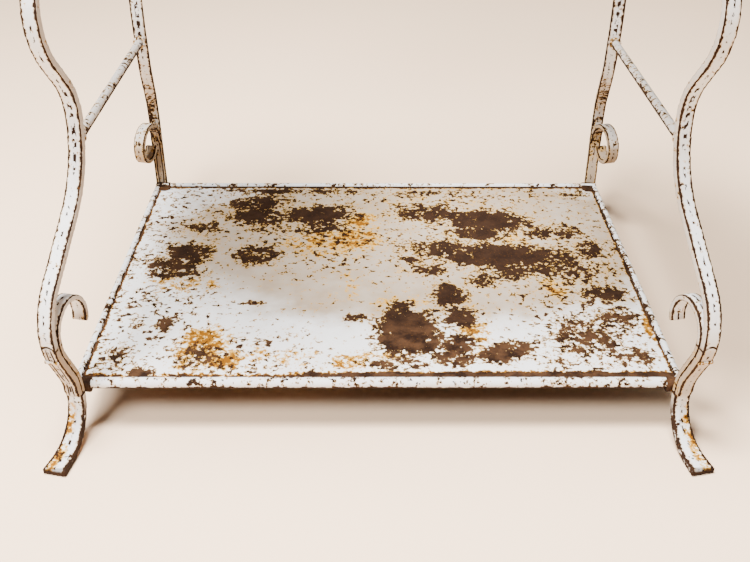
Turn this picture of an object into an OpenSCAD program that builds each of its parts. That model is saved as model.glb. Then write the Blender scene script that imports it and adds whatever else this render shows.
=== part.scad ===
// Iron wash basin stand: four S-shaped flat bar legs, scrolls that run on as feet,
// a sheet shelf on a round bar frame, two cross rods and a sheet top with a basin hole.
// +Z is up, the front looks along -Y, and the origin is on the floor under the middle.
// Each corner is drawn once, for the right rear (+X, +Y), and mirrored to the others.
// Within a corner, u runs outward in the plane of the leg and z runs up.

/* [Shelf] */
// Width over the side rails
shelf_w = 650; // [560:1:740]
// Depth over the front and rear rails
shelf_d = 470; // [400:1:560]
// Height of the rail centres above the floor
shelf_z = 58; // [56:1:66]
// Diameter of the front rail
front_rail_dia = 12; // [9:0.5:14]
// Diameter of the side and rear rails
side_rail_dia = 8; // [6:0.5:10]
// Thickness of the shelf sheet
sheet_t = 2; // [1:0.25:3]

/* [Leg bars] */
// Width of the flat bar, for legs and scrolls alike
bar_w = 16; // [12:0.5:20]
// Thickness of the leg bar
leg_t = 8; // [6:0.5:10]
// Thickness of the scroll and foot bar
scroll_t = 6; // [4:0.5:7]
// Angle of each leg's plane from the front-to-back line
splay = 12; // [6:1:16]
// Lean of the straight run from the shelf corner out to the bulge
heel_lean = 24; // [20:1:28]
// Length of that straight run
heel_run = 30; // [22:1:36]
// Radius of the bend where the leg leaves the shelf corner
heel_r = 55; // [45:1:70]
// Radius of the outer bulge below its widest point
bulge_low_r = 70; // [60:1:85]
// Radius of the outer bulge above its widest point
bulge_high_r = 66; // [55:1:80]
// Lean of the straight run from the bulge in to the waist
neck_lean = 49; // [42:1:54]
// Length of that straight run
neck_run = 75; // [60:1:85]
// Radius of the waist below its narrowest point
waist_low_r = 122; // [100:1:140]
// Radius of the waist above its narrowest point
waist_high_r = 60; // [50:1:80]
// Lean of the straight run from the waist out to the belly
belly_lean = 36; // [30:1:40]
// Length of that straight run
belly_run = 26; // [16:1:40]
// Radius of the belly
belly_r = 72; // [60:1:85]
// Radius of the long bend above the belly
crook_r = 150; // [120:1:180]
// Lean of the straight run up to the top frame
crown_lean = 18; // [10:1:22]
// Radius of the last bend, into the top frame
crown_r = 60; // [40:1:80]
// Height of the top rail centres above the floor
top_z = 742; // [700:1:780]

/* [Scrolls and feet] */
// Radius of the curls, to the middle of the bar
curl_r = 28; // [24:0.5:31]
// Radius of the bend where the scroll leaves the leg
curl_lead_r = 40; // [30:1:50]
// Straight rise from that bend to the curl
curl_rise = 6; // [4:0.5:12]
// Length by which the rear scrolls leave their legs lower down
rear_early = 15; // [8:0.5:18]
// Length of the twist between that bend and the rear curl
twist_run = 8; // [6:0.5:14]
// Turn of the front curls, from the rising side round to the free end
front_curl_turn = 205; // [180:1:215]
// Angle by which the rear curls are twisted out of the plane of the leg
rear_curl_yaw = 25; // [5:1:30]
// Radius of the turned-in end of the rear curls
rear_end_r = 19; // [16:0.5:21]
// Turn of that end
rear_end_turn = 165; // [90:1:170]
// Thickness of the foot bar
foot_t = 7; // [6.5:0.5:9]
// Width of the foot bar at its upper end
foot_w = 19; // [17:0.5:21]
// Straight length at that end, above the bend that lays the foot on the floor
foot_rise = 2.5; // [1:0.5:8]
// Length of the scroll bar that is lapped on the inside of the foot
foot_lap = 10; // [6:0.5:14]
// Length of the flat toe
toe_run = 16; // [8:1:30]
// Width of the spread end of the toe
toe_w = 25; // [22:0.5:28]
// Length of the thinned end of the leg, on the foot bar
scarf_len = 24; // [16:1:28]
// Thickness that is left at that end
scarf_t = 7; // [5:0.5:7.5]

/* [Cross rods] */
// Diameter of the two cross rods
rod_dia = 10; // [8:0.5:12]
// Height of the cross rods above the floor
rod_z = 302; // [290:1:315]
// Diameter of the weld collars at the rod ends
collar_dia = 15; // [13:0.5:15.5]
// Length of a weld collar
collar_len = 6; // [4:0.5:10]

/* [Top] */
// Diameter of the four top rails
top_rail_dia = 12; // [10:0.5:14]
// Diameter of the basin hole
basin_dia = 320; // [240:1:340]
// Thickness of the basin ring, which stands round the hole
ring_t = 5; // [3:0.5:8]
// Height of the basin ring above the top sheet
ring_h = 9; // [6:0.5:14]

/* [Welds] */
// Diameter of the weld bead across each leg, at the crease above the shelf
bead_dia = 5; // [3:0.5:6]
// Distance of that bead above the crease, along the leg
bead_up = 6; // [0:0.5:10]
// Height of the weld over the ends of the front rail
weld_over = 2; // [1:0.25:2.5]
// Diameter of the weld between a rail and the bar at its end
weld_dia = 8; // [6:0.5:9]
// Length by which that weld runs past the edge of the bar
weld_past = 5; // [2:0.5:8]
// Diameter of the weld pad in each rear corner of the shelf
pad_dia = 20; // [14:1:26]
// Height of those pads above the sheet
pad_h = 2; // [1:0.25:2.5]

/* [Hidden] */
$fn = 72;

front_rail_r = front_rail_dia / 2;
side_rail_r = side_rail_dia / 2;
top_rail_r = top_rail_dia / 2;
rod_r = rod_dia / 2;
stack_t = (leg_t + scroll_t) / 2;

// A bar that is splayed meets a straight rail along one edge, this far from its middle
splay_reach = bar_w / 2 * sin(splay);

// Each corner's own origin: the middle of the scroll bar, where it passes the shelf frame
corner_x = shelf_w / 2 + scroll_t / 2 * sin(splay) - bar_w / 2 * cos(splay);
corner_y = shelf_d / 2 + scroll_t / 2 * cos(splay) + splay_reach;

// A bar's path is a list of steps, each a run [0, length] or a bend [radius, angle].
// A positive bend turns outward on a bar that goes up. A place is [u, z, lean from upright].
function step_end(at, step) =
    step[0] == 0
        ? [at[0] + step[1] * sin(at[2]), at[1] + step[1] * cos(at[2]), at[2]]
        : let (side = sign(step[1]), lean = at[2] + step[1])
          [
              at[0] + side * step[0] * (cos(at[2]) - cos(lean)),
              at[1] + side * step[0] * (sin(lean) - sin(at[2])),
              lean
          ];
function path_end(path, at, count) =
    count == 0 ? at : step_end(path_end(path, at, count - 1), path[count - 1]);

// The end of the leg lies just below the rail centres, on the outer face of the scroll bar
heel_rise = 6;
leg_start = [stack_t, shelf_z - 2, 0];
leg_low = [
    [0, heel_rise],
    [heel_r, heel_lean],
    [0, heel_run],
    [bulge_low_r, -heel_lean],
    [bulge_high_r, -neck_lean],
    [0, neck_run],
    [waist_low_r, neck_lean],
    [waist_high_r, belly_lean],
    [0, belly_run],
    [belly_r, -2 * belly_lean],
    [crook_r, belly_lean + crown_lean]
];
crook_end = path_end(leg_low, leg_start, len(leg_low));
crown_run = (top_z - crook_end[1] - crown_r * sin(crown_lean)) / cos(crown_lean);
leg_path = concat(leg_low, [[0, crown_run], [crown_r, -crown_lean], [0, top_rail_r]]);
leg_top = path_end(leg_path, leg_start, len(leg_path));
crease = path_end(leg_path, leg_start, 3);
bead_at = step_end(crease, [bulge_low_r, -bead_up / bulge_low_r * 180 / PI]);
waist = path_end(leg_path, leg_start, 7);

// The foot starts at the end of its flat toe and bends up to the end of the leg. Its inner
// face is on the middle of the scroll bar, so the two are lapped into one.
foot_r = leg_start[1] - foot_t / 2 - foot_rise;
foot_start = [foot_t / 2 + foot_r + toe_run, foot_t / 2, -90];
foot_path = [[0, toe_run], [foot_r, 90], [0, foot_rise]];

// The scroll bar follows the inner face of its leg, then leaves it for the curl
scroll_start = [0, leg_start[1] - foot_lap, 0];
function scroll_path(lead_run) = [
    [0, foot_lap + heel_rise],
    [heel_r + stack_t, heel_lean],
    [0, lead_run],
    [curl_lead_r, -heel_lean]
];
front_path = concat(scroll_path(heel_run), [[0, curl_rise], [curl_r, -front_curl_turn]]);
rear_path = scroll_path(heel_run - rear_early);
twist_steps = 5;
twist_lap = 0.1;
rear_curl = [[0, twist_lap], [curl_r, -180], [rear_end_r, -rear_end_turn]];
twist_start = path_end(rear_path, scroll_start, len(rear_path));

// The rods meet the legs a little below the narrowest point of the waist
waist_drop = asin((waist[1] - rod_z) / waist_low_r);
rod_u = waist[0] + waist_low_r * (1 - cos(waist_drop));
rod_x = corner_x + rod_u * sin(splay);
rod_half = corner_y + rod_u * cos(splay);

// The top frame is seated on the inner faces of the legs, as the shelf frame is
top_half_y = corner_y + (leg_top[0] - leg_t / 2) * cos(splay) - splay_reach;
top_half_x = corner_x + (leg_top[0] - leg_t / 2) * sin(splay) + bar_w / 2 * cos(splay);
top_sheet_z = top_z + top_rail_r;
top_overhang = leg_t + 3;
top_corner_r = 14;
ring_r = basin_dia / 2;

paint = [0.88, 0.86, 0.83];
worn_paint = [0.74, 0.70, 0.66];
rust = [0.36, 0.20, 0.11];

// ---- bars -----------------------------------------------------------------

// The outline of a bar in the (u, z) plane: out along one side and back along the other
bend_step = 4;
function beside(at, off) = [at[0] + off * cos(at[2]), at[1] - off * sin(at[2])];
function step_side(at, step, off) =
    let (count = step[0] == 0 ? 1 : ceil(abs(step[1]) / bend_step))
    [for (i = [1 : count]) beside(step_end(at, [step[0], step[1] * i / count]), off)];
function bar_side(path, at, off) = concat(
    [beside(at, off)],
    [for (i = [0 : len(path) - 1]) each step_side(path_end(path, at, i), path[i], off)]
);
function reversed(list) = [for (i = [len(list) - 1 : -1 : 0]) list[i]];

module bar_outline(path, at, thick) {
    polygon(concat(bar_side(path, at, thick / 2), reversed(bar_side(path, at, -thick / 2))));
}

// Stands what is drawn in the (u, z) plane upright, and gives it the width of its bar
module upright(width = bar_w) {
    rotate([0, 0, 90 - splay])
        rotate([90, 0, 0])
            linear_extrude(height = width, center = true)
                children();
}

module in_quarter(sx, sy) {
    mirror([sx < 0 ? 1 : 0, 0, 0])
        mirror([0, sy < 0 ? 1 : 0, 0])
            children();
}

// Moves what is drawn for the right rear corner to the corner with these signs
module at_corner(sx, sy) {
    in_quarter(sx, sy)
        translate([corner_x, corner_y, 0])
            children();
}

// ---- legs, scrolls and feet -------------------------------------------------

// Takes the outer side off the end of the leg, where it is forged down on the foot bar
module scarf_cut() {
    outer_u = heel_r - sqrt(pow(heel_r - leg_t / 2, 2) - pow(scarf_len - heel_rise, 2));
    end_u = scarf_t - leg_t / 2;
    slope = (outer_u - end_u) / scarf_len;
    translate([leg_start[0], leg_start[1]])
        polygon([
            [end_u - slope, -1],
            [outer_u, scarf_len],
            [outer_u + leg_t, scarf_len],
            [outer_u + leg_t, -1]
        ]);
}

module leg_body() {
    upright()
        difference() {
            bar_outline(leg_path, leg_start, leg_t);
            scarf_cut();
        }
}

// The steps from first to last of a leg, in their place, for what is fitted to the leg there
module leg_part(first, last) {
    steps = [for (i = [first : last]) leg_path[i]];
    upright() bar_outline(steps, path_end(leg_path, leg_start, first), leg_t);
}

// The foot bar spreads from its upper end to the end of the toe
module foot() {
    past = 1;
    toe_end = foot_start[0] + past;
    intersection() {
        upright(toe_w + past) bar_outline(foot_path, foot_start, foot_t);
        rotate([0, 0, 90 - splay])
            linear_extrude(height = leg_start[1] + past)
                polygon([
                    [-past, -foot_w / 2],
                    [foot_t, -foot_w / 2],
                    [toe_end, -toe_w / 2],
                    [toe_end, toe_w / 2],
                    [foot_t, foot_w / 2],
                    [-past, foot_w / 2]
                ]);
    }
}

module front_scroll_foot() {
    upright() bar_outline(front_path, scroll_start, scroll_t);
    foot();
}

// The bar turns about its own length here, in even steps, before the curl
module twisted_run() {
    slice = twist_run / twist_steps;
    for (i = [1 : twist_steps])
        translate([0, 0, (i - 1) * slice - twist_lap])
            rotate([0, 0, 90 - splay + i * rear_curl_yaw / (twist_steps + 1)])
                translate([-scroll_t / 2, -bar_w / 2, 0])
                    cube([scroll_t, bar_w, slice + twist_lap]);
}

module rear_scroll_foot() {
    upright() bar_outline(rear_path, scroll_start, scroll_t);
    foot();
    translate([twist_start[0] * sin(splay), twist_start[0] * cos(splay), twist_start[1]]) {
        twisted_run();
        translate([0, 0, twist_run])
            rotate([0, 0, rear_curl_yaw])
                upright() bar_outline(rear_curl, [0, -twist_lap, 0], scroll_t);
    }
}

module leg(sx, sy) {
    color(paint) at_corner(sx, sy) leg_body();
}

module front_scroll_at(sx) {
    color(paint) at_corner(sx, -1) front_scroll_foot();
}

module rear_scroll_at(sx) {
    color(paint) at_corner(sx, 1) rear_scroll_foot();
}

// Weld across the outer face of each leg, just above the crease
module leg_crease_beads() {
    color(worn_paint)
        for (sx = [-1, 1], sy = [-1, 1])
            at_corner(sx, sy)
                difference() {
                    upright()
                        translate(beside(bead_at, leg_t / 2))
                            circle(d = bead_dia);
                    leg_part(2, 3);
                }
}

// ---- round rails and their welds ----------------------------------------------

module rail_along_x(half_len, r, y, z) {
    translate([-half_len, y, z]) rotate([0, 90, 0]) cylinder(r = r, h = 2 * half_len);
}

module rail_along_y(half_len, r, x, z) {
    translate([x, half_len, z]) rotate([90, 0, 0]) cylinder(r = r, h = 2 * half_len);
}

// Weld between the end of a rail and the inner face of the bar that stands there
module corner_weld(half_x, y, z, r) {
    reach = bar_w * cos(splay) + weld_past;
    translate([half_x - reach, y, z])
        rotate([0, 90, 0])
            cylinder(r = r, h = reach);
}

// Room for the straight length of a bar and for the foot, from the bar's inner face outward
module bar_room(u, z, thick) {
    half_high = front_rail_dia;
    rotate([0, 0, 90 - splay])
        translate([u - thick / 2, -foot_w / 2, z - half_high])
            cube([3 * thick, foot_w, 2 * half_high]);
}

// ---- shelf -------------------------------------------------------------------

module front_rail() {
    rail_along_x(shelf_w / 2, front_rail_r, front_rail_r - shelf_d / 2, shelf_z);
}

module rear_rail() {
    rail_along_x(shelf_w / 2, side_rail_r, shelf_d / 2 - side_rail_r, shelf_z);
}

module side_rail(sx) {
    difference() {
        rail_along_y(shelf_d / 2 - side_rail_r, side_rail_r, sx * (shelf_w / 2 - side_rail_r), shelf_z);
        front_rail();
        rear_rail();
    }
}

module shelf_front_rail() {
    color(paint) front_rail();
}

module shelf_rear_rail() {
    color(paint) rear_rail();
}

module shelf_left_rail() {
    color(paint) side_rail(-1);
}

module shelf_right_rail() {
    color(paint) side_rail(1);
}

// The sheet lies inside the frame, level with the rail centres, and is welded all round
module shelf_sheet() {
    color(paint)
        difference() {
            translate([0, 0, shelf_z])
                cube([shelf_w - side_rail_dia, shelf_d - side_rail_dia, sheet_t], center = true);
            front_rail();
            rear_rail();
            for (sx = [-1, 1])
                rail_along_y(shelf_d / 2, side_rail_r, sx * (shelf_w / 2 - side_rail_r), shelf_z);
        }
}

// A pad of weld on the sheet, in each rear corner of the frame
module rear_pad() {
    inset = side_rail_r + pad_dia / 2;
    translate([shelf_w / 2 - inset, shelf_d / 2 - inset, shelf_z + sheet_t / 2])
        cylinder(d = pad_dia, h = pad_h);
}

// The front welds run round the rail, and stand out in front of it
module shelf_corner_welds() {
    front_y = shelf_d / 2 - front_rail_r + weld_over + 0.5;
    color(rust)
        for (sx = [-1, 1]) {
            difference() {
                in_quarter(sx, -1) corner_weld(shelf_w / 2, front_y, shelf_z, front_rail_r + weld_over);
                front_rail();
                side_rail(sx);
                at_corner(sx, -1) bar_room(0, shelf_z, scroll_t);
            }
            difference() {
                in_quarter(sx, 1) corner_weld(shelf_w / 2, shelf_d / 2 - 1, shelf_z, weld_dia / 2);
                rear_rail();
                at_corner(sx, 1) bar_room(0, shelf_z, scroll_t);
            }
            difference() {
                in_quarter(sx, 1) rear_pad();
                rear_rail();
                side_rail(sx);
            }
        }
}

// ---- cross rods --------------------------------------------------------------

module cross_rod(sx) {
    color(paint)
        difference() {
            rail_along_y(rod_half, rod_r, sx * rod_x, rod_z);
            for (sy = [-1, 1]) at_corner(sx, sy) leg_part(5, 7);
        }
}

// A ring of weld round each end of the rod, against the leg
module rod_collars(sx) {
    reach = leg_t / 2 + splay_reach + collar_len;
    color(worn_paint)
        for (sy = [-1, 1])
            difference() {
                translate([sx * rod_x, sy * rod_half, rod_z])
                    rotate([sy * 90, 0, 0])
                        cylinder(d = collar_dia, h = reach);
                rail_along_y(rod_half + 1, rod_r, sx * rod_x, rod_z);
                at_corner(sx, sy) leg_part(5, 7);
            }
}

// ---- top ---------------------------------------------------------------------

module top_rail_x(sy) {
    rail_along_x(top_half_x, top_rail_r, sy * (top_half_y - top_rail_r), top_z);
}

module top_rail_y(sx) {
    difference() {
        rail_along_y(top_half_y - top_rail_r, top_rail_r, sx * (top_half_x - top_rail_r), top_z);
        for (sy = [-1, 1]) top_rail_x(sy);
    }
}

module top_front_rail() {
    color(paint) top_rail_x(-1);
}

module top_rear_rail() {
    color(paint) top_rail_x(1);
}

module top_left_rail() {
    color(paint) top_rail_y(-1);
}

module top_right_rail() {
    color(paint) top_rail_y(1);
}

module top_corner_welds() {
    color(worn_paint)
        for (sx = [-1, 1], sy = [-1, 1])
            difference() {
                in_quarter(sx, sy) corner_weld(top_half_x, top_half_y - 1, top_z, weld_dia / 2);
                top_rail_x(sy);
                at_corner(sx, sy) bar_room(leg_top[0], top_z, leg_t);
            }
}

// The sheet lies on the rails and over the ends of the legs, with a hole for the basin
module top_sheet() {
    half_x = top_half_x + top_overhang - top_corner_r;
    half_y = top_half_y + top_overhang - top_corner_r;
    color(paint)
        translate([0, 0, top_sheet_z])
            linear_extrude(height = sheet_t)
                difference() {
                    union() {
                        for (sx = [-1, 1], sy = [-1, 1])
                            translate([sx * half_x, sy * half_y]) circle(r = top_corner_r);
                        square([2 * (half_x + top_corner_r), 2 * half_y], center = true);
                        square([2 * half_x, 2 * (half_y + top_corner_r)], center = true);
                    }
                    circle(r = ring_r);
                }
}

// A flat bar rolled into a ring round the hole, which the rim of the basin rests on
module basin_ring() {
    color(paint)
        translate([0, 0, top_sheet_z + sheet_t])
            difference() {
                cylinder(r = ring_r + ring_t, h = ring_h);
                translate([0, 0, -1]) cylinder(r = ring_r, h = ring_h + 2);
            }
}

shelf_sheet();
shelf_front_rail();
shelf_rear_rail();
shelf_left_rail();
shelf_right_rail();
leg(-1, -1);  // front_left_leg
leg(1, -1);  // front_right_leg
leg(-1, 1);  // rear_left_leg
leg(1, 1);  // rear_right_leg
front_scroll_at(-1);  // front_left_scroll_foot
front_scroll_at(1);  // front_right_scroll_foot
rear_scroll_at(-1);  // rear_left_scroll_foot
rear_scroll_at(1);  // rear_right_scroll_foot
cross_rod(-1);  // left_cross_rod
cross_rod(1);  // right_cross_rod
rod_collars(-1);  // left_rod_collars
rod_collars(1);  // right_rod_collars
leg_crease_beads();
shelf_corner_welds();
top_front_rail();
top_rear_rail();
top_left_rail();
top_right_rail();
top_corner_welds();
top_sheet();
basin_ring();
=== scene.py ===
import math

import bpy
import numpy as np
from mathutils import Matrix, Vector


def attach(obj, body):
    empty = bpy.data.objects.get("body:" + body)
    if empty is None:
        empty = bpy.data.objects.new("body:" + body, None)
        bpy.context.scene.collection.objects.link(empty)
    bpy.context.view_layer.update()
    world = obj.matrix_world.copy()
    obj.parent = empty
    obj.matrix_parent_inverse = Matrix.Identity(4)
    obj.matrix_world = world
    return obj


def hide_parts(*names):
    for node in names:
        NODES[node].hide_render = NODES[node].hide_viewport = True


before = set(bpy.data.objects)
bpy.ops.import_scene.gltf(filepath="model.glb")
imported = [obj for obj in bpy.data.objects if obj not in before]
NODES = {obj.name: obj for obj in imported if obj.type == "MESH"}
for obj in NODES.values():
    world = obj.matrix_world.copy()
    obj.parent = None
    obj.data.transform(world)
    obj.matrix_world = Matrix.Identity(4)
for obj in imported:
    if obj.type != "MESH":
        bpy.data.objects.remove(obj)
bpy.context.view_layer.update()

bl_info = {
    "name": "Iron Wash Basin Stand",
    "version": (1, 0, 0),
    "blender": (4, 5, 0),
    "location": "3D View > Sidebar > Basin Stand",
    "description": "Dresses the CAD frame of an old painted iron wash basin stand",
    "category": "Object",
}

MM = 0.001

# Each corner's own origin is the middle of the scroll bar where it passes the shelf frame
CORNER_X, CORNER_Y = 0.3178, 0.2396
SPLAY = math.radians(12)
BAR_HALF_WIDTH = 8.0
TWIST_Z, TWIST_RUN = 0.1172, 0.008
TWIST_OUT = 0.0149
TWIST_YAW = math.radians(25)

# A point less far out than CURL_OUT, and at most CURL_DROP below the twist, is on a curl
CURL_OUT, CURL_DROP = 0.005, 0.020

# A foot is wider than the bar above it, and widens towards its toe
FOOT_TOP_Z = 0.0562
FOOT_HALF_WIDTH, TOE_HALF_WIDTH = 9.5, 12.5
FOOT_OUT, TOE_OUT = 0.007, 0.0695

# How squarely a point faces sideways, from 0 to 1, when it begins to count as on a narrow side
# and when it counts in full
NARROW_FROM, NARROW_FULL = 0.90, 0.99

SHELF_Z, ROD_Z = 0.058, 0.302
FRONT_SEAM_Y = -0.2231
REAR_SEAM_Y = 0.2271
SIDE_SEAM_X = 0.3171
TOP_EDGE_X, TOP_EDGE_Y = 0.326, 0.201
BASIN_R = 0.160
RING_BOTTOM_Z, RING_TOP_Z = 0.750, 0.759

# The seams are rustier on the right. Each fade has the place where it starts and where it is full.
RIGHT_FADE_X = -0.14, 0.02

# Where the finish of the bars changes, with the dark arc at the crease and the waist of a leg
FOOT_FADE_Z = 0.056, 0.030
SOLE_FADE_Z = 0.012, 0.004
KNEE_TOP_FADE_Z, KNEE_BOTTOM_FADE_Z = (0.140, 0.128), (0.050, 0.062)
MOTTLE_TOP_FADE_Z, MOTTLE_BOTTOM_FADE_Z = (0.245, 0.225), (0.10, 0.12)
LOW_RUST_FADE_Z, HIGH_RUST_FADE_Z = (0.26, 0.20), (0.33, 0.37)
REAR_FADE_Y = 0.10, 0.12
OFF_CURL_FADE_Y = 0.225, 0.235
TOE_END_FADE_Y = 0.3025, 0.3055
ARC_Z, WAIST_Z = 0.137, 0.325

# Sizes of the uneven places on each kind of piece and of the squares that the sheets are cut
# into, and the width of the border in which the shelf sheet's dents fade out
BAR_LUMPS, ROD_LUMPS, WELD_LUMPS = 0.022, 0.018, 0.005
SHELF_SQUARE, TOP_SQUARE = 0.005, 0.010
FREE_BORDER = 0.05
SMOOTH_ANGLE = math.radians(30)

FLOOR_SIZE, FLOOR_Z = 12, -0.0005
LIGHTS = {  # place, aim and size
    "overhead": ((-0.36, -0.28, 2.6), (0, 0, 0.1), 0.9),
    "front": ((-1.0, -1.45, 1.9), (0, 0, 0.2), 0.7),
}
ROOM_COLOUR = 1.0, 0.94, 0.88
CAMERA_PLACE = -0.0109, -1.002, 0.683
CAMERA_SENSOR, CAMERA_LENS = 36.0, 44.64
CAMERA_PAN, CAMERA_TILT, CAMERA_ROLL = -0.446, 57.28, 0.264

CORNERS = {
    "front_left": (-1, -1),
    "front_right": (1, -1),
    "rear_left": (-1, 1),
    "rear_right": (1, 1),
}

# Patches on the sheets, each an ellipse in millimetres: x, y, half its width, half its
# depth, and where they aren't 1 and 0 its strength and its turn in degrees
SHELF_PATCHES = {
    "rusted": [
        (-140, 212, 90, 8, 0.8), (-60, 206, 40, 8, 0.6), (75, 206, 60, 8, 0.6),
        (290, 206, 25, 12, 0.6), (-170, 175, 42, 20), (-166, 134, 38, 26),
        (-78, 140, 46, 25, 1.15), (-232, 105, 26, 14, 0.8), (-130, 100, 50, 14, 0.65),
        (-70, 105, 36, 16, 0.7), (42, 20, 20, 8, 0.95), (-246, 38, 32, 22),
        (-270, 12, 38, 18, 0.85), (-255, -16, 36, 8, 0.7), (-158, 34, 30, 26, 0.85),
        (-290, -190, 20, 24, 0.65), (150, 0, 40, 14, 0.7), (215, -6, 30, 16, 0.8),
        (-247, -124, 10, 16, 0.85), (-256, -214, 16, 10, 1.2), (-198, -184, 16, 22, 0.7),
        (-26, -110, 15, 10, 0.8), (-150, -80, 16, 5, 0.7), (-72, -218, 10, 6, 0.9),
        (36, -138, 36, 44, 1.2), (30, -88, 16, 16, 0.9), (88, -62, 20, 22), (99, -110, 22, 19),
        (94, -161, 19, 20), (20, -196, 40, 12, 0.8), (80, -190, 28, 16, 0.8),
        (147, -174, 32, 17, 1.0, 20), (240, -150, 42, 38, 0.75), (275, -112, 26, 22, 0.7),
        (285, -186, 22, 20, 0.7), (152, 123, 50, 28, 1.15), (70, 143, 48, 28, 0.88),
        (140, 88, 36, 20, 0.95), (212, 88, 30, 18, 0.8), (157, 31, 64, 26, 1.2),
        (80, 48, 36, 22, 0.9), (172, -12, 18, 20), (246, 0, 36, 50, 0.72),
        (280, 42, 24, 26, 0.75), (272, -60, 32, 20, 0.8), (256, 94, 18, 26, 0.8),
        (64, -5, 24, 15, 1.0), (136, -27, 26, 18, 0.8)],
    "washed": [
        (-196, -170, 30, 40, 1.3), (-168, -190, 22, 20, 1.2), (-120, -186, 50, 20, 0.9),
        (-60, 72, 66, 50, 1.05), (-26, 124, 24, 26, 1.3), (-32, -40, 24, 30, 0.7),
        (-250, -38, 30, 26, 0.9), (-203, -40, 16, 16, 0.8), (-28, -194, 34, 16),
        (62, 0, 44, 24, 0.8), (186, 74, 26, 18), (221, -42, 20, 26), (107, -138, 20, 54, 1.2),
        (316, -134, 10, 30, 1.3), (20, -186, 30, 12, 1.2), (70, 170, 80, 34, 0.6),
        (30, -80, 30, 16), (262, -140, 16, 40, 1.1)],
    "speckled": [
        (-262, 0, 70, 260), (-180, -180, 120, 40), (-130, 120, 130, 80), (236, -30, 90, 180),
        (120, 60, 140, 100), (0, 200, 320, 30), (-75, 85, 80, 50, 1.2), (0, 75, 90, 50),
        (-60, 20, 90, 40, 0.9)],
    # painted shade: the shadow that the top sheet casts over the rear and right of the shelf
    "tarnish_and_shade": [(60, 75, 330, 190)],
}
TOP_PATCHES = {
    "rusted": [
        (-240, 98, 44, 30, 0.9, 15), (252, -122, 38, 26, 0.9, -12), (200, 158, 60, 20, 0.7),
        (-196, -152, 42, 22, 0.7, -8)],
    "washed": [(-236, 70, 60, 40, 0.8), (236, -90, 60, 40, 0.8), (0, -182, 120, 16, 0.7)],
    "speckled": [(-250, 0, 90, 220), (250, 0, 90, 220)],
    # on the top sheet this field is real tarnish near the basin hole
    "tarnish_and_shade": [(0, 0, 120, 110)],
}


# ---- settings ---------------------------------------------------------------

class PaintSettings(bpy.types.PropertyGroup):
    """Colours of the old paint and of the rust under it"""
    paint: bpy.props.FloatVectorProperty(
        name="Paint", description="White of the sound paint",
        subtype="COLOR", size=3, min=0, max=1, default=(0.80, 0.785, 0.775))
    # Also used as painted shade: the tan towards which the shelf under the top, the bars' narrow sides
    # and the rods are blended.
    stained: bpy.props.FloatVectorProperty(
        name="Stained paint", description="Paint that dust and dirt have dulled",
        subtype="COLOR", size=3, min=0, max=1, default=(0.36, 0.27, 0.185))
    rust_water: bpy.props.FloatVectorProperty(
        name="Rust water", description="Yellow stain that rust has washed over the paint",
        subtype="COLOR", size=3, min=0, max=1, default=(0.62, 0.33, 0.04))
    orange: bpy.props.FloatVectorProperty(
        name="Rust bloom", description="Orange rust round the edge of a bare place",
        subtype="COLOR", size=3, min=0, max=1, default=(0.20, 0.070, 0.002))
    rust: bpy.props.FloatVectorProperty(
        name="Rust", description="Lighter colour of the bare, rusted iron",
        subtype="COLOR", size=3, min=0, max=1, default=(0.058, 0.026, 0.011))
    rust_dark: bpy.props.FloatVectorProperty(
        name="Dark rust", description="Darker colour of the bare, rusted iron",
        subtype="COLOR", size=3, min=0, max=1, default=(0.013, 0.005, 0.002))
    wear: bpy.props.FloatProperty(
        name="Edge wear", description="Width of the worn band along each arris of a bar",
        subtype="DISTANCE", unit="LENGTH", min=0, max=0.004, default=0.0023)


class ForgeSettings(bpy.types.PropertyGroup):
    """Shape of the forged and welded surfaces"""
    bar_step: bpy.props.FloatProperty(
        name="Bar detail", description="Size of the faces on bars, rails and rods",
        subtype="DISTANCE", unit="LENGTH", min=0.0006, max=0.003, default=0.0011)
    weld_step: bpy.props.FloatProperty(
        name="Weld detail", description="Size of the faces on welds",
        subtype="DISTANCE", unit="LENGTH", min=0.0004, max=0.002, default=0.0007)
    hammer_depth: bpy.props.FloatProperty(
        name="Hammer marks", description="Depth of the uneven places on the bars",
        subtype="DISTANCE", unit="LENGTH", min=0, max=0.002, default=0.0006)
    weld_lumps: bpy.props.FloatProperty(
        name="Weld lumps", description="Height of the lumps on the welds",
        subtype="DISTANCE", unit="LENGTH", min=0, max=0.004, default=0.0018)
    sheet_dents: bpy.props.FloatProperty(
        name="Sheet dents", description="Depth of the soft dents in the shelf sheet",
        subtype="DISTANCE", unit="LENGTH", min=0, max=0.004, default=0.0016)


class StageSettings(bpy.types.PropertyGroup):
    """Floor and light"""
    floor: bpy.props.FloatVectorProperty(
        name="Floor", description="Colour of the pale floor",
        subtype="COLOR", size=3, min=0, max=1, default=(0.93, 0.67, 0.45))
    overhead: bpy.props.FloatProperty(
        name="Overhead light", description="Power of the light above the stand, a little in front",
        subtype="POWER", unit="POWER", min=0, max=500, default=300)
    front: bpy.props.FloatProperty(
        name="Front light", description="Power of the light on the front left",
        subtype="POWER", unit="POWER", min=0, max=500, default=90)
    room: bpy.props.FloatProperty(
        name="Room light", description="Strength of the even light from all round",
        subtype="FACTOR", min=0, max=3, default=0.16)


# ---- finishes ---------------------------------------------------------------

class Wire:
    """An output socket of a finish. Arithmetic on it adds Math nodes, so 1 - mask works."""

    def __init__(self, finish, socket):
        self.finish = finish
        self.socket = socket

    def maths(self, operation, *values):
        return self.finish.node("ShaderNodeMath", {"operation": operation}, dict(enumerate(values)))

    def __add__(self, other):
        return self.maths("ADD", self, other)

    __radd__ = __add__

    def __sub__(self, other):
        return self.maths("SUBTRACT", self, other)

    def __rsub__(self, other):
        return self.maths("SUBTRACT", other, self)

    def __mul__(self, other):
        return self.maths("MULTIPLY", self, other)

    __rmul__ = __mul__

    def __abs__(self):
        return self.maths("ABSOLUTE", self)

    def __or__(self, other):
        return self.maths("MAXIMUM", self, other)

    def __and__(self, other):
        return self.maths("MINIMUM", self, other)


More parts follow.
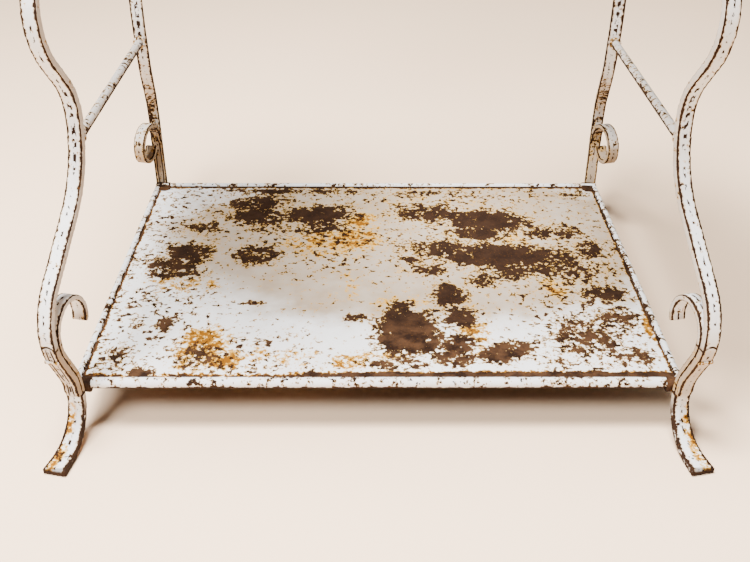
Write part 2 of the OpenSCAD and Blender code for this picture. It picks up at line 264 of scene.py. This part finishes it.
class Finish:
    """A material under construction, read from Object coordinates in metres"""

    def __init__(self, name):
        self.material = bpy.data.materials.new(name)
        self.material.use_nodes = True
        self.nodes = self.material.node_tree.nodes
        self.links = self.material.node_tree.links
        self.nodes.clear()
        self.place = self.node("ShaderNodeTexCoord", {}, {}, "Object")
        self.x, self.y, self.z = self.parts(self.place)

    def node(self, kind, settings, sockets, output=0):
        """Add a node, with its settings first and then its sockets' values or links."""
        made = self.nodes.new(kind)
        for name, value in settings.items():
            setattr(made, name, value)
        for name, value in sockets.items():
            if isinstance(value, Wire):
                self.links.new(value.socket, made.inputs[name])
            else:
                made.inputs[name].default_value = value
        return Wire(self, made.outputs[output])

    def parts(self, vector):
        """The X, Y and Z of a vector."""
        return [self.node("ShaderNodeSeparateXYZ", {}, {0: vector}, axis) for axis in "XYZ"]

    def noise(self, size, detail=3.0, rough=0.5):
        """Noise from 0 to 1 whose largest features are about this size in metres."""
        return self.node("ShaderNodeTexNoise", {}, {
            "Vector": self.place, "Scale": 1 / size, "Detail": detail, "Roughness": rough})

    def fade(self, value, start, end):
        """Smooth step from 0 at start to 1 at end."""
        return self.node("ShaderNodeMapRange", {"interpolation_type": "SMOOTHSTEP"}, {
            "Value": value, "From Min": start, "From Max": end})

    def near(self, value, place, reach):
        """1 within this reach of a place, down to 0 at twice the reach."""
        return self.fade(abs(value - place), 2 * reach, reach)

    def blend(self, factor, first, second):
        """Mix of two colours, each a wire or a tuple of three."""
        colours = {6: first, 7: second}
        for number, colour in colours.items():
            if not isinstance(colour, Wire):
                colours[number] = (*colour, 1.0)
        return self.node("ShaderNodeMix", {"data_type": "RGBA"}, {0: factor, **colours}, 2)

    def attribute(self, name):
        return self.node("ShaderNodeAttribute", {"attribute_name": name}, {}, "Fac")

    def rust_colour(self, paint, dark):
        """Colour of bare iron, dark and light in clouds with orange grains."""
        clouds = self.fade(self.noise(0.020, 4, 0.6), 0.36, 0.62) * (1 - dark)
        grains = self.fade(self.noise(0.0018, 3, 0.6), 0.58, 0.74)
        bare = self.blend(clouds, tuple(paint.rust_dark), tuple(paint.rust))
        return self.blend(grains * 0.35, bare, tuple(paint.orange))

    def paint_over_rust(self, paint, bare, bloom, stain, dark=0.0, relief=0.00022):
        """White paint with bare places, an orange bloom round them and a dull stain; some finishes
        pass painted shade in the stain and in dark.
        """
        mottle = self.fade(self.noise(0.03, 4, 0.6), 0.35, 0.75)
        sound = self.blend((mottle * 0.10 + stain) & 1, tuple(paint.paint), tuple(paint.stained))
        washed = self.blend(self.fade(bloom, 0.45, 0.95), tuple(paint.rust_water), tuple(paint.orange))
        bloomed = self.blend(self.fade(bloom, 0.0, 0.55), sound, washed)
        colour = self.blend(bare, bloomed, self.rust_colour(paint, dark))
        roughness = 0.46 + 0.16 * mottle + 0.30 * bare
        height = (1 - bare) + 0.5 * self.noise(0.0012, 3, 0.7) * bare + 0.22 * self.noise(0.006, 3)
        bump = self.node("ShaderNodeBump", {}, {"Height": height, "Distance": relief, "Strength": 0.9},
                         "Normal")
        return self.surface(colour, roughness, bump)

    def surface(self, colour, roughness, normal):
        shader = self.node("ShaderNodeBsdfPrincipled", {}, {
            "Base Color": colour, "Roughness": roughness, "Normal": normal,
            "Specular IOR Level": 0.12}, "BSDF")
        output = self.nodes.new("ShaderNodeOutputMaterial")
        self.links.new(shader.socket, output.inputs["Surface"])
        return self.material


def paint_settings():
    return bpy.context.scene.stand_paint


def made_once(build):
    """Let a finish be built on its first use only."""
    def finish():
        return bpy.data.materials.get(build.__name__) or build()
    return finish


@made_once
def old_paint_on_bar():
    """White paint worn off the arrises, with a dashed line down the faces and rusty feet"""
    paint = paint_settings()
    f = Finish("old_paint_on_bar")
    across = f.attribute("across")
    narrow = f.attribute("narrow")
    broad = f.noise(0.045, 2)
    cloud = f.noise(0.012, 4, 0.6)
    ragged = f.noise(0.004, 5, 0.62)
    grain = 0.55 * cloud + 0.45 * ragged + 0.16 * (broad - 0.5)
    foot = f.fade(f.z, *FOOT_FADE_Z)
    sole = f.fade(f.z, *SOLE_FADE_Z)
    knee = f.fade(f.z, *KNEE_TOP_FADE_Z) * f.fade(f.z, *KNEE_BOTTOM_FADE_Z)
    arc = f.near(f.z + 0.00008 * (across * across), ARC_Z, 0.0009)
    toe_end = f.fade(abs(f.y), *TOE_END_FADE_Y) * sole
    waist = f.fade(abs(f.z - WAIST_Z), 0.060, 0.015)
    rear = f.fade(f.y, *REAR_FADE_Y)
    rusty_rear = rear * f.fade(f.z, *LOW_RUST_FADE_Z) | rear * f.fade(f.z, *HIGH_RUST_FADE_Z)
    mottled = rear * f.fade(f.z, *MOTTLE_TOP_FADE_Z) * f.fade(f.z, *MOTTLE_BOTTOM_FADE_Z)
    rim = BAR_HALF_WIDTH - abs(across) + 4.5 * narrow
    band = paint.wear / MM + 6.5 * (ragged - 0.5) + 2.5 * (broad - 0.5)
    worn = f.fade(rim - band, 0.25, -0.25)
    flaked = f.fade(grain + 0.04 * foot + 0.03 * rusty_rear + 0.06 * mottled, 0.615, 0.627)
    dashes = (f.fade(abs(across) - 1.2 * waist, 1.6, 0.7)
              * f.fade(f.noise(0.0055, 3, 0.5) + 0.05 * waist, 0.55, 0.58))
    off_curl = f.fade(abs(f.y), *OFF_CURL_FADE_Y)
    left_knee = knee * f.fade(f.x, 0.0, -0.01)
    long_crack = f.near(abs(across) + 5 * (broad - 0.5), 3.0, 0.6) * left_knee
    crack = (long_crack * f.fade(cloud, 0.36, 0.44) | arc * f.fade(grain, 0.40, 0.48)) * off_curl
    inward_side = f.fade(across, -6.0, -7.5) * foot * f.fade(grain, 0.38, 0.46)
    bare = worn | flaked | dashes | crack | toe_end | inward_side
    rim_bloom = f.fade(rim - band, 1.8, -0.2) * 0.30
    flake_bloom = f.fade(grain + 0.03 * rusty_rear + 0.06 * mottled, 0.56, 0.64) * 0.5
    outward_face = f.fade(across, -3.0, 3.5) * foot * f.fade(grain, 0.42, 0.56)
    # The narrow sides are dulled tan partly by dirt and partly by painted shade, as they face away
    # from the light.
    stain = 0.10 * f.fade(broad, 0.4, 0.7) + 0.55 * narrow + 0.60 * knee + 0.50 * rusty_rear
    return f.paint_over_rust(paint, bare, rim_bloom | flake_bloom | outward_face, stain, dark=0.75)


@made_once
def old_paint_on_rod():
    """White paint with brown spots, rustier and darker on the underside, the darkening partly painted
    shade
    """
    paint = paint_settings()
    f = Finish("old_paint_on_rod")
    facing_x, facing_y, up = f.parts(f.node("ShaderNodeNewGeometry", {}, {}, "Normal"))
    on_rod = f.near(f.z, ROD_Z, 0.05)
    under = f.fade(up - 0.35 * on_rod, 0.05, -0.65)
    broad = f.noise(0.05, 2)
    grain = 0.45 * f.noise(0.011, 4, 0.6) + 0.55 * f.noise(0.0045, 5, 0.62) + 0.16 * (broad - 0.5)
    specks = f.fade(f.noise(0.0065, 3, 0.55) + 0.06 * under, 0.64, 0.655)
    flaked = f.fade(grain + 0.20 * under, 0.545, 0.557) | specks
    on_shelf = f.near(f.z, SHELF_Z, 0.02)
    on_front = f.fade(f.y, FRONT_SEAM_Y + 0.0051, FRONT_SEAM_Y)
    on_side = f.fade(abs(f.x), SIDE_SEAM_X - 0.0006, SIDE_SEAM_X + 0.0004) * (1 - on_front)
    on_the_right = f.fade(f.x, *RIGHT_FADE_X)
    inward = abs(facing_x) * on_side * f.fade(facing_x * f.x, 0.0, -0.0001) * 0.6
    front_seam = facing_y * on_front * (0.7 + 0.25 * on_the_right)
    seam = f.fade((front_seam | inward) + 2.0 * (grain - 0.5), 0.42, 0.52) * on_shelf
    bloom = f.fade(grain + 0.10 * under, 0.50, 0.58) * 0.65 | seam
    # Painted shade: the tan over the cross rods stands for their shade, and the tan on the undersides
    # is partly dirt and partly painted shade; the undersides' extra rust is real.
    stain = 0.50 * under + 0.10 * broad + 0.40 * on_rod
    return f.paint_over_rust(paint, flaked | seam, bloom, stain, dark=0.6)


def sheet_paint(name, edge):
    """Paint on a sheet that holds how rusted, washed and speckled each place is, and its tarnish
    field: real tarnish on the top sheet, painted shade of the top sheet on the shelf
    """
    paint = paint_settings()
    f = Finish(name)
    broad = f.noise(0.045, 3, 0.55)
    cloud = f.noise(0.013, 5, 0.65)
    fine = f.noise(0.0052, 4, 0.62)
    flecks = f.noise(0.0062, 3, 0.55)
    grain = 0.45 * cloud + 0.55 * fine
    facing = f.parts(f.node("ShaderNodeNewGeometry", {}, {}, "Normal"))[2]
    below = f.fade(facing, -0.2, -0.8)
    seam = edge(f) + 2.0 * (grain - 0.5)
    rust = grain + 0.25 * f.attribute("rusted") + 0.24 * (broad - 0.5) + 0.20 * below
    specks = flecks + 0.115 * f.attribute("speckled") + 0.10 * (broad - 0.5)
    wash = 0.50 * cloud + 0.50 * fine + 0.18 * f.attribute("washed") + 0.20 * (broad - 0.5)
    bare = f.fade(rust, 0.635, 0.645) | f.fade(specks, 0.685, 0.700) | f.fade(seam, 0.45, 0.52)
    bloom = (f.fade(rust, 0.585, 0.645) * 0.5 | f.fade(wash, 0.595, 0.76) | f.fade(seam, 0.28, 0.48)
             | f.fade(specks, 0.62, 0.69) * 0.4)
    # Painted shade: on the shelf the tarnish field is the top sheet's shadow, which dulls the paint
    # and darkens the rust there; on the top sheet it is real tarnish.
    tarnish_and_shade_mask = f.fade(f.attribute("tarnish_and_shade") + 0.3 * (broad - 0.5), 0.40, 0.70)
    stain = 0.08 * f.fade(broad, 0.4, 0.7) + 0.88 * tarnish_and_shade_mask
    return f.paint_over_rust(paint, bare, bloom, stain, dark=0.75 * tarnish_and_shade_mask)


@made_once
def old_paint_on_shelf():
    """White paint on the shelf sheet, with its rusted patches and the seams along the rails"""
    def edge(f):
        on_the_right = f.fade(f.x, *RIGHT_FADE_X)
        front = f.fade(f.y, FRONT_SEAM_Y + 0.020, FRONT_SEAM_Y) * (0.58 + 0.60 * on_the_right)
        rear = f.fade(f.y, REAR_SEAM_Y - 0.014, REAR_SEAM_Y) * 0.80
        sides = f.fade(abs(f.x), SIDE_SEAM_X - 0.0065, SIDE_SEAM_X) * 0.70
        return front | rear | sides

    return sheet_paint("old_paint_on_shelf", edge)


@made_once
def old_paint_on_top():
    """White paint on the top sheet, worn round the hole and along the border"""
    def edge(f):
        flat = f.node("ShaderNodeVectorMath", {"operation": "MULTIPLY"}, {0: f.place, 1: (1, 1, 0)})
        away = f.node("ShaderNodeVectorMath", {"operation": "LENGTH"}, {0: flat}, "Value")
        border = (f.fade(abs(f.x), TOP_EDGE_X - 0.008, TOP_EDGE_X)
                  | f.fade(abs(f.y), TOP_EDGE_Y - 0.008, TOP_EDGE_Y))
        near_ring = f.fade(away, BASIN_R + 0.012, BASIN_R + 0.005)
        return border * 0.75 | near_ring * 0.65

    return sheet_paint("old_paint_on_top", edge)


@made_once
def old_paint_on_ring():
    """White paint on the basin ring, worn off its rims"""
    paint = paint_settings()
    f = Finish("old_paint_on_ring")
    ragged = f.noise(0.0045, 5, 0.65)
    broad = f.noise(0.05, 2)
    rims = (f.fade(f.z, RING_TOP_Z - 0.0018, RING_TOP_Z - 0.0002)
            | f.fade(f.z, RING_BOTTOM_Z + 0.0016, RING_BOTTOM_Z + 0.0002))
    bare = f.fade(0.75 * rims + 2.0 * (ragged - 0.5) + 1.2 * (broad - 0.5), 0.62, 0.72)
    bloom = f.fade(0.8 * rims + 1.6 * (ragged - 0.5), 0.35, 0.8) * 0.6
    return f.paint_over_rust(paint, bare, bloom, 0.2 * broad)


@made_once
def old_paint_on_weld():
    """Cream paint on a weld, with rust in its hollows"""
    paint = paint_settings()
    f = Finish("old_paint_on_weld")
    ragged = f.noise(0.004, 5, 0.65)
    bare = f.fade(ragged, 0.52, 0.56)
    bloom = f.fade(ragged, 0.42, 0.56) * 0.7
    return f.paint_over_rust(paint, bare, bloom, 0.25, relief=0.0004)


@made_once
def bare_rust_on_weld():
    """Dark, scaly rust with a few flecks of paint"""
    paint = paint_settings()
    f = Finish("bare_rust_on_weld")
    ragged = f.noise(0.005, 5, 0.68)
    flecks = f.fade(ragged, 0.60, 0.66)
    bloom = f.fade(ragged, 0.40, 0.60)
    return f.paint_over_rust(paint, 1 - flecks, bloom, 0.5, relief=0.0006)


# ---- modelling --------------------------------------------------------------

def only(piece):
    """Select this piece alone and make it the active object."""
    bpy.ops.object.select_all(action="DESELECT")
    piece.select_set(True)
    bpy.context.view_layer.objects.active = piece


def copy_of(node, name):
    """Copy a CAD node's mesh into a new piece, with its loose triangles merged."""
    piece = bpy.data.objects.new(name, NODES[node].data.copy())
    bpy.context.scene.collection.objects.link(piece)
    only(piece)
    bpy.ops.object.mode_set(mode="EDIT")
    bpy.ops.mesh.select_all(action="SELECT")
    bpy.ops.mesh.remove_doubles(threshold=0.00001)
    bpy.ops.object.mode_set(mode="OBJECT")
    return piece


def with_modifier(piece, kind, **settings):
    """Add a modifier, set it and apply it."""
    only(piece)
    modifier = piece.modifiers.new(kind.lower(), kind)
    for name, value in settings.items():
        setattr(modifier, name, value)
    bpy.ops.object.modifier_apply(modifier=modifier.name)


def lumps(name, size):
    """Cloud texture for a Displace modifier, with features of about this size in metres."""
    texture = bpy.data.textures.get(name) or bpy.data.textures.new(name, "CLOUDS")
    texture.noise_scale = size
    texture.noise_depth = 2
    return texture


def forged(node, name, step, depth, size, smooth=3):
    """Copy a node as one skin with rounded arrises and an uneven, hammered surface."""
    piece = copy_of(node, name)
    with_modifier(piece, "REMESH", mode="VOXEL", voxel_size=step, use_smooth_shade=True)
    with_modifier(piece, "SMOOTH", factor=0.5, iterations=smooth)
    with_modifier(piece, "DISPLACE", texture=lumps(f"lumps_{size * 1000:.0f}", size),
                  texture_coords="LOCAL", strength=depth, mid_level=0.5)
    return piece


def stand_for(piece, finish, node):
    """Give a finished piece its material, and let it ride in the place of its CAD node."""
    piece.data.materials.clear()
    piece.data.materials.append(finish)
    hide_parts(node)
    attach(piece, "root")


def gridded(piece, reach_x, reach_y, step):
    """Cut a sheet into squares of this size."""
    only(piece)
    bpy.ops.object.mode_set(mode="EDIT")
    for axis, reach in (((1, 0, 0), reach_x), ((0, 1, 0), reach_y)):
        count = int(reach / step)
        for cut in range(-count, count + 1):
            bpy.ops.mesh.select_all(action="SELECT")
            bpy.ops.mesh.bisect(plane_co=tuple(cut * step * part for part in axis), plane_no=axis)
    bpy.ops.object.mode_set(mode="OBJECT")


def patch_strength(at_x, at_y, x, y, half_x, half_y, strength=1.0, turn=0.0):
    """Strength of a patch at places in millimetres: full inside it, fading out past its edge."""
    cosine, sine = math.cos(math.radians(turn)), math.sin(math.radians(turn))
    along = ((at_x - x) * cosine + (at_y - y) * sine) / half_x
    beside = ((at_y - y) * cosine - (at_x - x) * sine) / half_y
    near = np.clip((1.9 - np.hypot(along, beside)) / 1.6, 0, 1)
    return strength * near * near * (3 - 2 * near)


def mark_patches(piece, fields):
    """Store, point by point, the strongest patch of each of a sheet's fields."""
    mesh = piece.data
    places = np.empty(3 * len(mesh.vertices))
    mesh.vertices.foreach_get("co", places)
    at_x, at_y = places.reshape(-1, 3).T[:2] / MM
    for name, patches in fields.items():
        field = np.max([patch_strength(at_x, at_y, *patch) for patch in patches], axis=0)
        mesh.attributes.new(name, "FLOAT", "POINT").data.foreach_set("value", field)


def clamped(value):
    return min(max(value, 0.0), 1.0)


def mark_bar(piece, side_x, side_y, curl_yaw=0.0):
    """Store where each point lies across the bar, and whether it is on a narrow side.

    The place across is in millimetres, grows away from the stand's middle plane, and is
    scaled on a foot so that the arrises are everywhere at half the bar's width.
    """
    mesh = piece.data
    across, narrow = [], []
    pivot_x = CORNER_X + TWIST_OUT * math.sin(SPLAY)
    pivot_y = CORNER_Y + TWIST_OUT * math.cos(SPLAY)
    for vert in mesh.vertices:
        off_x, off_y = vert.co.x * side_x - pivot_x, vert.co.y * side_y - pivot_y
        out = TWIST_OUT + off_x * math.sin(SPLAY) + off_y * math.cos(SPLAY)
        on_curl = out < CURL_OUT and vert.co.z > TWIST_Z - CURL_DROP
        turned = curl_yaw * (1.0 if on_curl else clamped((vert.co.z - TWIST_Z) / TWIST_RUN))
        wide_x, wide_y = math.cos(turned - SPLAY), math.sin(turned - SPLAY)
        half_width = BAR_HALF_WIDTH
        if vert.co.z < FOOT_TOP_Z and out > -MM:
            widened = clamped((out - FOOT_OUT) / (TOE_OUT - FOOT_OUT))
            half_width = FOOT_HALF_WIDTH + (TOE_HALF_WIDTH - FOOT_HALF_WIDTH) * widened
        across.append((off_x * wide_x + off_y * wide_y) / MM * BAR_HALF_WIDTH / half_width)
        facing = abs(vert.normal.x * side_x * wide_x + vert.normal.y * side_y * wide_y)
        narrow.append(clamped((facing - NARROW_FROM) / (NARROW_FULL - NARROW_FROM)))
    mesh.attributes.new("across", "FLOAT", "POINT").data.foreach_set("value", across)
    mesh.attributes.new("narrow", "FLOAT", "POINT").data.foreach_set("value", narrow)


# ---- operators --------------------------------------------------------------

class STAND_OT_legs(bpy.types.Operator):
    """Forge the four S-shaped legs"""
    bl_idname = "stand.legs"
    bl_label = "Legs"

    def execute(self, context):
        forge = context.scene.stand_forge
        for corner, (side_x, side_y) in CORNERS.items():
            node = f"{corner}_leg"
            leg = forged(node, f"{corner}_leg_bar", forge.bar_step, forge.hammer_depth, BAR_LUMPS)
            mark_bar(leg, side_x, side_y)
            stand_for(leg, old_paint_on_bar(), node)
        return {"FINISHED"}


class STAND_OT_scrolls(bpy.types.Operator):
    """Forge the four scrolls, each with its foot"""
    bl_idname = "stand.scrolls"
    bl_label = "Scrolls and feet"

    def execute(self, context):
        forge = context.scene.stand_forge
        for corner, (side_x, side_y) in CORNERS.items():
            node = f"{corner}_scroll_foot"
            scroll = forged(node, f"{corner}_scroll_bar", forge.bar_step, forge.hammer_depth * 0.8,
                            BAR_LUMPS)
            mark_bar(scroll, side_x, side_y, TWIST_YAW if side_y > 0 else 0.0)
            stand_for(scroll, old_paint_on_bar(), node)
        return {"FINISHED"}


class STAND_OT_rails(bpy.types.Operator):
    """Roll the rails of the shelf and of the top, and the two cross rods"""
    bl_idname = "stand.rails"
    bl_label = "Rails and rods"

    def execute(self, context):
        forge = context.scene.stand_forge
        rounds = [f"{level}_{side}_rail" for level in ("shelf", "top")
                  for side in ("front", "rear", "left", "right")]
        for node in rounds + ["left_cross_rod", "right_cross_rod"]:
            rod = forged(node, f"{node}_bar", forge.bar_step, forge.hammer_depth * 0.5, ROD_LUMPS)
            stand_for(rod, old_paint_on_rod(), node)
        return {"FINISHED"}


class STAND_OT_welds(bpy.types.Operator):
    """Run the welds: collars, crease beads and corner welds"""
    bl_idname = "stand.welds"
    bl_label = "Welds"

    def execute(self, context):
        forge = context.scene.stand_forge
        painted = ["left_rod_collars", "right_rod_collars", "leg_crease_beads", "top_corner_welds"]
        for node in painted + ["shelf_corner_welds"]:
            weld = forged(node, f"{node}_run", forge.weld_step, forge.weld_lumps, WELD_LUMPS, smooth=5)
            bare = node == "shelf_corner_welds"
            stand_for(weld, bare_rust_on_weld() if bare else old_paint_on_weld(),
                      node)
        return {"FINISHED"}


class STAND_OT_shelf_sheet(bpy.types.Operator):
    """Lay the shelf sheet, with soft dents"""
    bl_idname = "stand.shelf_sheet"
    bl_label = "Shelf sheet"

    def execute(self, context):
        forge = context.scene.stand_forge
        sheet = copy_of("shelf_sheet", "shelf_plate")
        gridded(sheet, SIDE_SEAM_X, REAR_SEAM_Y, SHELF_SQUARE)
        mark_patches(sheet, SHELF_PATCHES)
        free = sheet.vertex_groups.new(name="free")
        for vert in sheet.data.vertices:
            room = min(SIDE_SEAM_X - abs(vert.co.x), REAR_SEAM_Y - vert.co.y, vert.co.y - FRONT_SEAM_Y)
            free.add([vert.index], clamped(room / FREE_BORDER), "REPLACE")
        for name, size, share in (("sheet_dents", 0.09, 1.0), ("sheet_ripples", 0.03, 0.25)):
            with_modifier(sheet, "DISPLACE", texture=lumps(name, size), texture_coords="LOCAL",
                          direction="Z", strength=forge.sheet_dents * share, mid_level=0.5,
                          vertex_group="free")
        bpy.ops.object.shade_smooth_by_angle(angle=SMOOTH_ANGLE)
        stand_for(sheet, old_paint_on_shelf(), "shelf_sheet")
        return {"FINISHED"}


class STAND_OT_top(bpy.types.Operator):
    """Cut the top sheet and roll the basin ring"""
    bl_idname = "stand.top"
    bl_label = "Top sheet and basin ring"

    def rounded(self, node, name, width):
        """Copy a node and round its edges by this much."""
        piece = copy_of(node, name)
        bpy.ops.object.mode_set(mode="EDIT")
        bpy.ops.mesh.dissolve_limited(angle_limit=math.radians(0.5))
        bpy.ops.object.mode_set(mode="OBJECT")
        with_modifier(piece, "BEVEL", width=width, segments=2, limit_method="ANGLE",
                      angle_limit=math.radians(50))
        return piece

    def execute(self, context):
        sheet = self.rounded("top_sheet", "top_plate", 0.0005)
        gridded(sheet, TOP_EDGE_X, TOP_EDGE_Y, TOP_SQUARE)
        mark_patches(sheet, TOP_PATCHES)
        bpy.ops.object.shade_smooth_by_angle(angle=SMOOTH_ANGLE)
        stand_for(sheet, old_paint_on_top(), "top_sheet")
        ring = self.rounded("basin_ring", "basin_ring_bar", 0.0008)
        bpy.ops.object.shade_smooth_by_angle(angle=SMOOTH_ANGLE)
        stand_for(ring, old_paint_on_ring(), "basin_ring")
        return {"FINISHED"}


class STAND_OT_stage(bpy.types.Operator):
    """Set the floor, the lights and the camera"""
    bl_idname = "stand.stage"
    bl_label = "Floor, light and camera"

    def lay_floor(self, context, colour):
        """Lay a pale floor under the toes."""
        bpy.ops.object.select_all(action="DESELECT")
        bpy.ops.mesh.primitive_plane_add(size=FLOOR_SIZE, location=(0, 0, FLOOR_Z))
        floor = context.object
        floor.name = "floor"
        bpy.ops.object.transform_apply(location=True, rotation=True, scale=True)
        f = Finish("pale_floor")
        cloud = f.noise(0.6, 2)
        clouded = f.blend(cloud * 0.2, tuple(colour), tuple(part * 0.95 for part in colour))
        bump = f.node("ShaderNodeBump", {}, {
            "Height": f.noise(0.002, 2), "Distance": 0.0001, "Strength": 0.3}, "Normal")
        floor.data.materials.append(f.surface(clouded, 0.7 + 0.1 * cloud, bump))

    def hang_lights(self, context, powers):
        """Hang the area lights, each with its power, and turn them to their aims."""
        for name, (place, aim, size) in LIGHTS.items():
            bpy.ops.object.light_add(type="AREA", location=place)
            light = context.object
            light.name = name
            light.data.energy = powers[name]
            light.data.size = size
            light.rotation_euler = (Vector(aim) - Vector(place)).to_track_quat("-Z", "Y").to_euler()

    def light_room(self, context, strength):
        """Give the room its soft, even light."""
        world = bpy.data.worlds.new("soft_room")
        context.scene.world = world
        world.use_nodes = True
        room = world.node_tree.nodes["Background"]
        room.inputs["Color"].default_value = (*ROOM_COLOUR, 1)
        room.inputs["Strength"].default_value = strength

    def mount_camera(self, context):
        """Put the camera in front of the shelf, a little to the left, looking down on it."""
        camera = bpy.data.cameras.new("camera")
        camera.sensor_width = CAMERA_SENSOR
        camera.lens = CAMERA_LENS
        mount = bpy.data.objects.new("camera", camera)
        context.scene.collection.objects.link(mount)
        mount.location = CAMERA_PLACE
        pan, tilt, roll = (Matrix.Rotation(math.radians(angle), 3, axis) for angle, axis in (
            (CAMERA_PAN, "Z"), (CAMERA_TILT, "X"), (CAMERA_ROLL, "Z")))
        mount.rotation_euler = (pan @ tilt @ roll).to_euler()
        context.scene.camera = mount

    def execute(self, context):
        stage = context.scene.stand_stage
        self.lay_floor(context, stage.floor)
        self.hang_lights(context, {"overhead": stage.overhead, "front": stage.front})
        self.light_room(context, stage.room)
        self.mount_camera(context)
        return {"FINISHED"}


class STAND_PT_sidebar(bpy.types.Panel):
    """Lists the stand's settings and operators"""
    bl_label = "Basin Stand"
    bl_space_type = "VIEW_3D"
    bl_region_type = "UI"
    bl_category = "Basin Stand"

    def draw(self, context):
        for group in (context.scene.stand_paint, context.scene.stand_forge, context.scene.stand_stage):
            for name in group.__annotations__:
                self.layout.prop(group, name)
        for operator in OPERATORS:
            self.layout.operator(operator.bl_idname)


OPERATORS = (STAND_OT_legs, STAND_OT_scrolls, STAND_OT_rails, STAND_OT_welds, STAND_OT_shelf_sheet,
             STAND_OT_top, STAND_OT_stage)
SETTINGS = {"stand_paint": PaintSettings, "stand_forge": ForgeSettings, "stand_stage": StageSettings}


def register():
    for cls in (*SETTINGS.values(), *OPERATORS, STAND_PT_sidebar):
        bpy.utils.register_class(cls)
    for name, group in SETTINGS.items():
        setattr(bpy.types.Scene, name, bpy.props.PointerProperty(type=group))


def unregister():
    for name in SETTINGS:
        delattr(bpy.types.Scene, name)
    for cls in (STAND_PT_sidebar, *reversed(OPERATORS), *SETTINGS.values()):
        bpy.utils.unregister_class(cls)


def main():
    register()
    bpy.ops.stand.legs()
    bpy.ops.stand.scrolls()
    bpy.ops.stand.rails()
    bpy.ops.stand.welds()
    bpy.ops.stand.shelf_sheet()
    bpy.ops.stand.top()
    bpy.ops.stand.stage()


if __name__ == "__main__":
    main()
